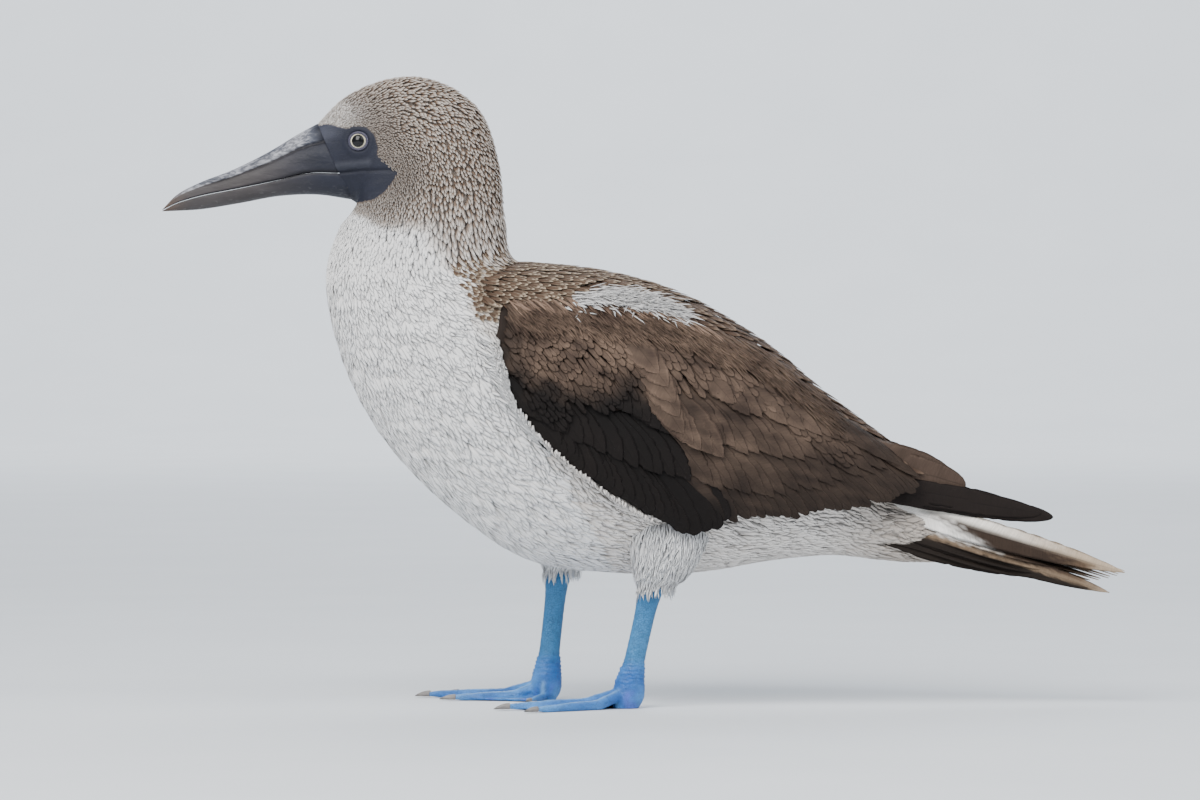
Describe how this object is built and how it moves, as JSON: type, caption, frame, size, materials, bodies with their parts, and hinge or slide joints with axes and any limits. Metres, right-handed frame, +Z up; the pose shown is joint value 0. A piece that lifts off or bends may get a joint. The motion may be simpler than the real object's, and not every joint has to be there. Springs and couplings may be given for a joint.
{
  "type": "blue-footed booby",
  "caption": "Life-size still model of a standing blue-footed booby, with folded wings, a long pointed bill and tail, and webbed feet flat on the floor.",
  "frame": {"origin": "on the floor under the middle of the bird's box, on its middle plane", "axes": "+Z up, the bird faces -X and its left side faces -Y"},
  "size_m": [0.6252, 0.1834, 0.4069],
  "materials": {
    "head_feathers": "short pointed feathers, brown with pale tips",
    "body_feathers": "soft white feathers",
    "wing_feathers": "dark brown feathers, worn paler above",
    "tail_feathers": "white and brown streaked feathers",
    "bill": "slate grey horn",
    "eye": "wet, pale yellow iris round a black pupil",
    "foot_skin": "matt blue skin",
    "claw": "grey horn"
  },
  "bodies": {
    "root": {"head": "head_feathers", "neck": "head_feathers", "torso": "body_feathers", "thigh_left": "body_feathers", "thigh_right": "body_feathers", "wing_left": "wing_feathers", "wing_right": "wing_feathers", "tail": "tail_feathers", "bill_upper": "bill", "bill_lower": "bill", "eye_left": "eye", "eye_right": "eye", "leg_left": "foot_skin", "leg_right": "foot_skin", "foot_left": "foot_skin", "foot_right": "foot_skin", "claw_outer_left": "claw", "claw_middle_left": "claw", "claw_inner_left": "claw", "claw_hind_left": "claw", "claw_outer_right": "claw", "claw_middle_right": "claw", "claw_inner_right": "claw", "claw_hind_right": "claw"}
  },
  "joints": []
}
